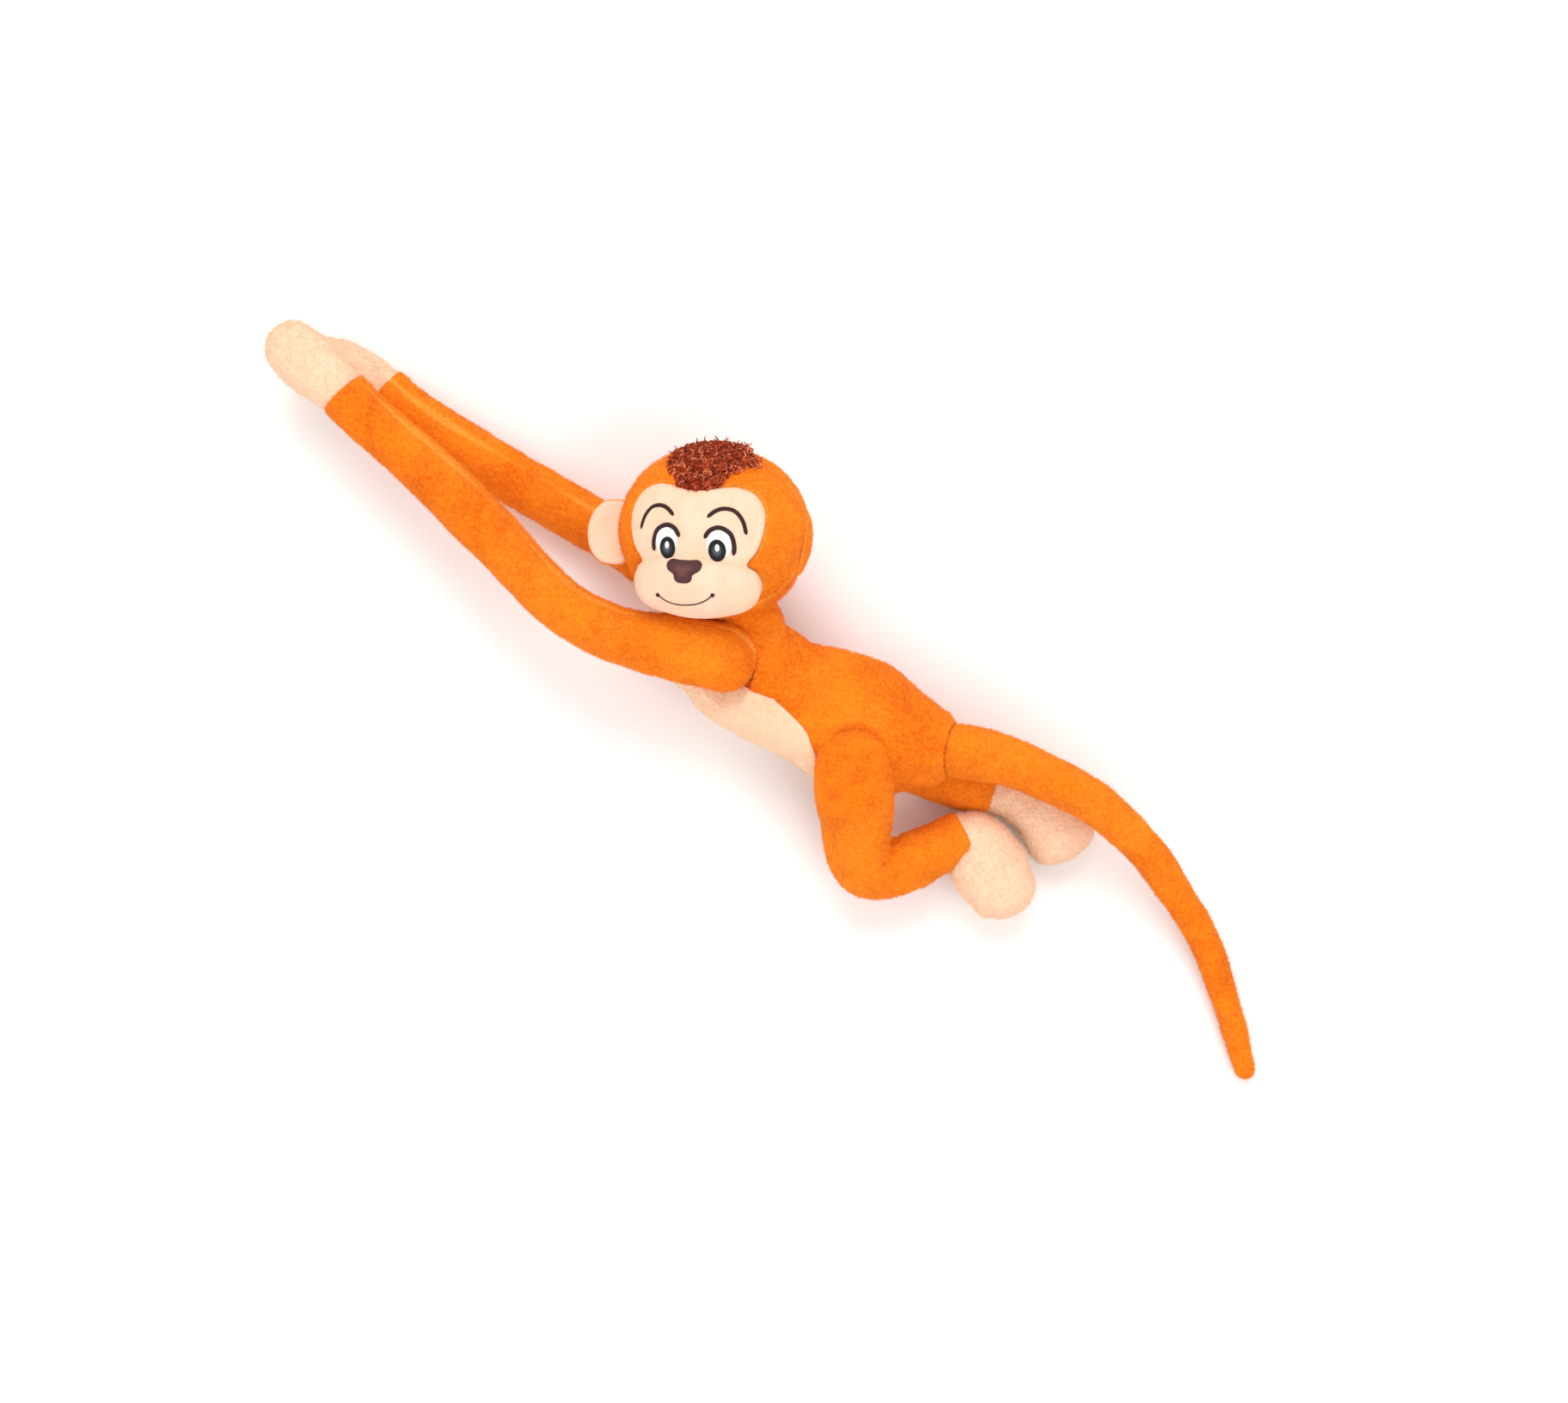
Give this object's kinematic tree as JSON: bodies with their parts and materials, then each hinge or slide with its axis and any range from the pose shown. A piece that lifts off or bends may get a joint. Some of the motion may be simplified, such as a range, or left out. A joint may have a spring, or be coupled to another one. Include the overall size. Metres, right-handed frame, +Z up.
{
  "type": "stuffed monkey",
  "caption": "Plush long-armed monkey lying on its side with its arms stretched past its head, palms that fasten together, and jointed head, ears, limbs and tail.",
  "frame": {"origin": "centre of the toy's footprint, on the surface that it lies on", "axes": "+X from the hands to the tail's tip, +Z up from the surface, +Y towards the crown of the head"},
  "size_m": [0.6054, 0.1628, 0.1039],
  "materials": {
    "orange_plush": "short velvety pile, mottled where it is brushed",
    "cream_plush": "short velvety pile",
    "cream_velvet": "smooth short-pile velvet",
    "fibre_filling": "matted polyester fibre",
    "brown_long_pile": "curly long pile",
    "brown_satin_stitch": "satin-stitch embroidery",
    "white_satin_stitch": "satin-stitch embroidery",
    "black_satin_stitch": "satin-stitch embroidery",
    "dark_thread": "raised embroidery thread",
    "white_fastener_tape": "hook-and-loop tape"
  },
  "bodies": {
    "torso": {"torso_cover": "orange_plush", "belly_panel": "cream_plush"},
    "neck": {"neck_filling": "fibre_filling"},
    "head": {"head_cover": "orange_plush", "face_panel": "cream_plush", "muzzle": "cream_plush", "hair_tuft": "brown_long_pile", "nose": "brown_satin_stitch", "mouth_stitch": "dark_thread", "left_eye_white": "white_satin_stitch", "right_eye_white": "white_satin_stitch", "left_pupil": "black_satin_stitch", "right_pupil": "black_satin_stitch", "left_eye_glint": "white_satin_stitch", "right_eye_glint": "white_satin_stitch", "left_eyelid_stitch": "dark_thread", "right_eyelid_stitch": "dark_thread", "left_brow_stitch": "dark_thread", "right_brow_stitch": "dark_thread"},
    "left_ear": {"left_ear_back": "orange_plush", "left_ear_lining": "cream_velvet"},
    "right_ear": {"right_ear_back": "orange_plush", "right_ear_lining": "cream_velvet"},
    "left_upper_arm": {"left_upper_arm": "orange_plush"},
    "left_forearm": {"left_forearm": "orange_plush"},
    "left_hand": {"left_hand": "cream_plush", "left_palm_hooks": "white_fastener_tape"},
    "right_upper_arm": {"right_upper_arm": "orange_plush"},
    "right_forearm": {"right_forearm": "orange_plush"},
    "right_hand": {"right_hand": "cream_plush", "right_palm_loops": "white_fastener_tape"},
    "left_thigh": {"left_thigh": "orange_plush"},
    "left_shin": {"left_shin": "orange_plush"},
    "left_foot": {"left_foot": "cream_plush"},
    "right_thigh": {"right_thigh": "orange_plush"},
    "right_shin": {"right_shin": "orange_plush"},
    "right_foot": {"right_foot": "cream_plush"},
    "tail_root": {"tail_root": "orange_plush"},
    "tail_middle": {"tail_middle": "orange_plush"},
    "tail_lower": {"tail_lower": "orange_plush"},
    "tail_tip": {"tail_tip": "orange_plush"}
  },
  "joints": [
    {"name": "neck_bend", "type": "hinge", "parent": "torso", "child": "neck", "pos_m": [-0.026, 0.01, 0.044], "axis": [0, 0, 1], "range_deg": [-15, 0]},
    {"name": "head_turn", "type": "hinge", "parent": "neck", "child": "head", "pos_m": [-0.026, 0.01, 0.044], "axis": [-0.7451, 0.584, 0.3222], "range_deg": [0, 20]},
    {"name": "left_ear_flop", "type": "hinge", "parent": "head", "child": "left_ear", "pos_m": [-0.02158, 0.05809, 0.07708], "axis": [-0.4384, 0.8988, 0], "range_deg": [0, 95]},
    {"name": "right_ear_flop", "type": "hinge", "parent": "head", "child": "right_ear", "pos_m": [-0.10512, 0.01734, 0.04866], "axis": [-0.4384, 0.8988, 0], "range_deg": [-15, 60]},
    {"name": "left_shoulder", "type": "hinge", "parent": "torso", "child": "left_upper_arm", "pos_m": [-0.03, -0.012, 0.062], "axis": [-0.0538, 0.2008, 0.9781], "range_deg": [0, 100]},
    {"name": "left_elbow", "type": "hinge", "parent": "left_upper_arm", "child": "left_forearm", "pos_m": [-0.11, -0.029, 0.053], "axis": [0, 0, 1], "range_deg": [-20, 60]},
    {"name": "left_wrist", "type": "hinge", "parent": "left_forearm", "child": "left_hand", "pos_m": [-0.256, 0.0075, 0.0392], "axis": [0, 0, 1], "range_deg": [-25, 25]},
    {"name": "right_shoulder", "type": "hinge", "parent": "torso", "child": "right_upper_arm", "pos_m": [-0.03, -0.008, 0.0115], "axis": [0.0538, -0.2008, 0.9781], "range_deg": [0, 100]},
    {"name": "right_elbow", "type": "hinge", "parent": "right_upper_arm", "child": "right_forearm", "pos_m": [-0.11, 0.013, 0.013], "axis": [0, 0, 1], "range_deg": [-20, 60]},
    {"name": "right_wrist", "type": "hinge", "parent": "right_forearm", "child": "right_hand", "pos_m": [-0.243, 0.019, 0.0119], "axis": [0, 0, 1], "range_deg": [-25, 25]},
    {"name": "left_hip", "type": "hinge", "parent": "torso", "child": "left_thigh", "pos_m": [0.052, -0.025, 0.054], "axis": [0, 0, 1], "range_deg": [-28, 0]},
    {"name": "left_knee", "type": "hinge", "parent": "left_thigh", "child": "left_shin", "pos_m": [0.081, -0.066, 0.031], "axis": [0, 0, 1], "range_deg": [-90, 0]},
    {"name": "left_ankle", "type": "hinge", "parent": "left_shin", "child": "left_foot", "pos_m": [0.116, -0.0295, 0.022], "axis": [0, 0, 1], "range_deg": [-20, 0]},
    {"name": "right_hip", "type": "hinge", "parent": "torso", "child": "right_thigh", "pos_m": [0.044, -0.015, 0.015], "axis": [0, 0, 1], "range_deg": [0, 35]},
    {"name": "right_knee", "type": "hinge", "parent": "right_thigh", "child": "right_shin", "pos_m": [0.082, -0.01, 0.014], "axis": [0, 0, 1], "range_deg": [0, 65]},
    {"name": "right_ankle", "type": "hinge", "parent": "right_shin", "child": "right_foot", "pos_m": [0.119, -0.0025, 0.0135], "axis": [0, 0, 1], "range_deg": [0, 25]},
    {"name": "tail_seam", "type": "hinge", "parent": "torso", "child": "tail_root", "pos_m": [0.093, 0.006, 0.0415], "axis": [0, 0, 1], "range_deg": [-4, 35]},
    {"name": "tail_bend_1", "type": "hinge", "parent": "tail_root", "child": "tail_middle", "pos_m": [0.136, 0.0165, 0.04], "axis": [0, 0, 1], "range_deg": [-15, 35]},
    {"name": "tail_bend_2", "type": "hinge", "parent": "tail_middle", "child": "tail_lower", "pos_m": [0.19, 0.0125, 0.033], "axis": [0, 0, 1], "range_deg": [-35, 40]},
    {"name": "tail_bend_3", "type": "hinge", "parent": "tail_lower", "child": "tail_tip", "pos_m": [0.24, -0.0095, 0.015], "axis": [0, 0, 1], "range_deg": [-40, 45]}
  ]
}
